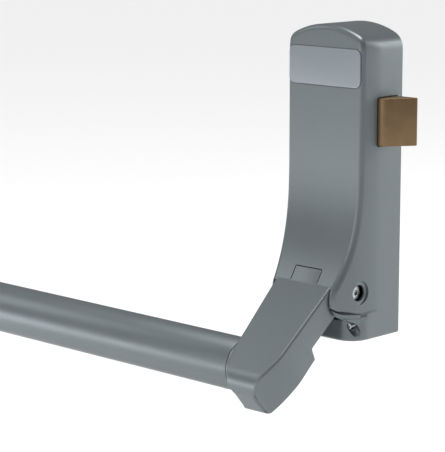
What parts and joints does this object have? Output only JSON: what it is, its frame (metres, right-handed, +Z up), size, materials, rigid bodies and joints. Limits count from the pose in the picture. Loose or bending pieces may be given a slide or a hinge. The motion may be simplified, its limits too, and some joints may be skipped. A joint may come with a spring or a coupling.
{
  "type": "panic exit bar",
  "caption": "Horizontal push bar on two pivoting arms between a latch case and a hinge-side case; pushing it draws in a bevelled latch bolt at the side.",
  "frame": {"origin": "on the door's face behind the latch case, midway across the case, at the height of the arms' pivot axis", "axes": "+X along the bar toward the latch case and the door's free edge, +Y into the door, +Z up"},
  "size_m": [0.6676, 0.0937, 0.1973],
  "materials": {
    "paint": "satin silver-grey powder coat",
    "zinc": "bright zinc plate",
    "steel": "plain cold-rolled steel",
    "spring_steel": "oiled spring wire",
    "screw_zinc": "bright zinc plate",
    "nylon": "natural moulded nylon",
    "badge": "satin anodised",
    "bronze": "satin cast bronze"
  },
  "bodies": {
    "cases": {"latch_cover": "paint", "latch_backplate": "zinc", "latch_bracket": "steel", "latch_pivot_pin": "steel", "latch_pivot_screw_left": "screw_zinc", "latch_pivot_screw_right": "screw_zinc", "latch_return_spring": "spring_steel", "latch_lug_left": "steel", "latch_lug_right": "steel", "latch_toe_screw_left": "screw_zinc", "latch_toe_screw_right": "screw_zinc", "idle_cover": "paint", "idle_backplate": "zinc", "idle_bracket": "steel", "idle_pivot_pin": "steel", "idle_pivot_screw_left": "screw_zinc", "idle_pivot_screw_right": "screw_zinc", "idle_return_spring": "spring_steel", "idle_lug_left": "steel", "idle_lug_right": "steel", "idle_toe_screw_left": "screw_zinc", "idle_toe_screw_right": "screw_zinc", "name_badge": "badge", "bolt_guide": "steel", "spring_anchor": "steel", "bolt_spring": "spring_steel", "crank_pin": "steel", "crank_clip": "steel", "rod_guide_lower": "steel", "rod_guide_upper": "steel"},
    "push_bar": {"push_bar_tube": "paint", "latch_arm": "paint", "idle_arm": "paint", "latch_bush_left": "nylon", "latch_bush_right": "nylon", "idle_bush_left": "nylon", "idle_bush_right": "nylon", "latch_bar_screw": "screw_zinc", "idle_bar_screw": "screw_zinc"},
    "lift_rod": {"lift_rod": "zinc"},
    "bell_crank": {"bell_crank": "steel"},
    "latch_bolt": {"latch_bolt": "bronze"}
  },
  "joints": [
    {"name": "arm_swing", "type": "hinge", "parent": "cases", "child": "push_bar", "pos_m": [0, -0.031, 0], "axis": [1, 0, 0], "range_deg": [0, 18], "stiffness_Nm_per_rad": 3, "springref_deg": -25.78},
    {"name": "rod_lift", "type": "slide", "parent": "cases", "child": "lift_rod", "axis": [0, 0, 1], "range_m": [0, 0.0068]},
    {"name": "crank_turn", "type": "hinge", "parent": "cases", "child": "bell_crank", "pos_m": [-0.0038, -0.0115, 0.0695], "axis": [0, -1, 0], "range_deg": [0, 37.5]},
    {"name": "bolt_slide", "type": "slide", "parent": "cases", "child": "latch_bolt", "axis": [-1, 0, 0], "range_m": [0, 0.0132], "deforming": ["bolt_spring"]}
  ],
  "couplings": [
    {"joint": "rod_lift", "follows": "arm_swing", "m_per_rad": 0.021},
    {"joint": "crank_turn", "follows": "arm_swing", "ratio": 2.0556},
    {"joint": "bolt_slide", "follows": "arm_swing", "m_per_rad": 0.041539}
  ]
}
